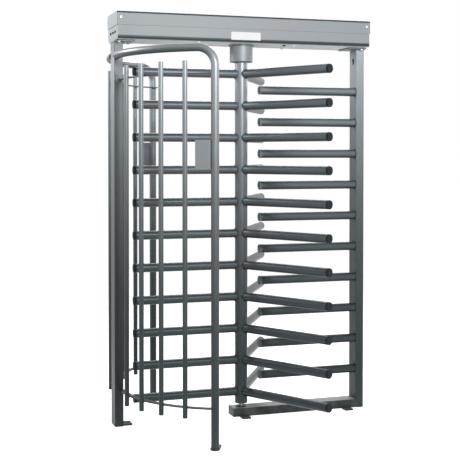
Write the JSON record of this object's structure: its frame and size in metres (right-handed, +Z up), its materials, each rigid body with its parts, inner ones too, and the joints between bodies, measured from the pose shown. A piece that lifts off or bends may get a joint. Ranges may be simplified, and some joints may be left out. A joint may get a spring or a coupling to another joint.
{
  "type": "full height turnstile",
  "caption": "Full height single-lane turnstile: a three-wing rotor of horizontal arms under a box header, with a curved picket cage on one side and interleaving fixed bars on the other.",
  "frame": {"origin": "on the rotor's axis, at floor level", "axes": "+Z up along the rotor's axis; +X along the header towards the post with the fixed bars; -Y towards the side the picture was taken from"},
  "size_m": [1.5235, 1.3574, 2.3],
  "materials": {
    "header_paint": "semi-gloss blue-grey paint on folded sheet",
    "frame_paint": "semi-gloss blue-grey paint, worn darker towards the floor",
    "rotor_paint": "semi-gloss blue-grey paint, rubbed by hands",
    "cage_paint": "semi-gloss blue-grey paint",
    "reader_paint": "semi-gloss blue-grey paint",
    "cap_plastic": "black moulded plastic, fine grain",
    "zinc": "bright zinc plate",
    "stud_steel": "blackened steel",
    "label_white": "blank white plastic plate",
    "machined_steel": "turned and milled steel, lightly oiled",
    "spring_steel": "drawn spring wire",
    "bronze": "sintered bronze",
    "solenoid_black": "black moulded casing",
    "board_green": "green board with pale terminals",
    "supply_metal": "folded aluminium casing"
  },
  "bodies": {
    "frame": {"base_beam": "frame_paint", "base_beam_floor_tabs": "frame_paint", "base_plate_bolts": "zinc", "bearing_housing": "frame_paint", "bearing_outer_ring": "machined_steel", "bearing_sleeve": "zinc", "blank_label_plate": "label_white", "controller_board": "board_green", "damper_body": "solenoid_black", "earth_stud": "stud_steel", "fixed_bar_caps": "cap_plastic", "fixed_bars": "frame_paint", "floor_bush": "bronze", "front_end_tube": "cage_paint", "front_lower_hoop": "cage_paint", "front_pickets": "cage_paint", "front_plunger_spring": "spring_steel", "front_reader_plate": "reader_paint", "front_solenoid": "solenoid_black", "front_tube_foot": "cage_paint", "front_upper_hoop": "cage_paint", "header_channel": "header_paint", "header_cover": "header_paint", "header_screws": "zinc", "left_post": "frame_paint", "left_post_flange": "frame_paint", "left_post_floor_tab": "frame_paint", "mechanism_base_plate": "zinc", "pawl_pivot_pins": "machined_steel", "post_flange_bolts": "zinc", "power_supply": "supply_metal", "rear_end_tube": "cage_paint", "rear_lower_hoop": "cage_paint", "rear_pickets": "cage_paint", "rear_plunger_spring": "spring_steel", "rear_reader_plate": "reader_paint", "rear_solenoid": "solenoid_black", "rear_tube_foot": "cage_paint", "rear_upper_hoop": "cage_paint", "right_post": "frame_paint", "right_post_flange": "frame_paint"},
    "rotor": {"rotor_tube": "rotor_paint", "left_wing_arms": "rotor_paint", "front_wing_arms": "rotor_paint", "rear_wing_arms": "rotor_paint", "left_wing_caps": "cap_plastic", "front_wing_caps": "cap_plastic", "rear_wing_caps": "cap_plastic", "top_spindle": "machined_steel", "spindle_nut": "machined_steel", "floor_pivot_pin": "machined_steel", "bearing_inner_ring": "machined_steel", "bearing_balls": "machined_steel", "lock_wheel": "machined_steel", "damper_gear": "machined_steel"},
    "front_pawl": {"front_lock_pawl": "machined_steel"},
    "rear_pawl": {"rear_lock_pawl": "machined_steel"},
    "front_plunger_body": {"front_plunger": "machined_steel"},
    "rear_plunger_body": {"rear_plunger": "machined_steel"},
    "pinion": {"damper_pinion": "machined_steel"}
  },
  "joints": [
    {"name": "rotor_spin", "type": "hinge", "parent": "frame", "child": "rotor", "pos_m": [0, 0, 2.084], "axis": [0, 0, 1], "continuous": true},
    {"name": "front_pawl_turn", "type": "hinge", "parent": "frame", "child": "front_pawl", "pos_m": [0.1, -0.075, 2.174], "axis": [0, 0, -1], "range_deg": [0, 5.4]},
    {"name": "rear_pawl_turn", "type": "hinge", "parent": "frame", "child": "rear_pawl", "pos_m": [0.1, 0.075, 2.174], "axis": [0, 0, 1], "range_deg": [0, 5.4]},
    {"name": "front_plunger_slide", "type": "slide", "parent": "frame", "child": "front_plunger_body", "axis": [1, 0, 0], "range_m": [0, 0.0043], "stiffness_N_per_m": 300, "springref_m": -0.004, "deforming": ["front_plunger_spring"]},
    {"name": "rear_plunger_slide", "type": "slide", "parent": "frame", "child": "rear_plunger_body", "axis": [1, 0, 0], "range_m": [0, 0.0043], "stiffness_N_per_m": 300, "springref_m": -0.004, "deforming": ["rear_plunger_spring"]},
    {"name": "damper_pinion_spin", "type": "hinge", "parent": "frame", "child": "pinion", "pos_m": [-0.096, 0, 2.197], "axis": [0, 0, 1], "continuous": true}
  ],
  "couplings": [
    {"joint": "front_plunger_slide", "follows": "front_pawl_turn", "m_per_rad": 0.045},
    {"joint": "rear_plunger_slide", "follows": "rear_pawl_turn", "m_per_rad": 0.045},
    {"joint": "damper_pinion_spin", "follows": "rotor_spin", "ratio": -3}
  ]
}
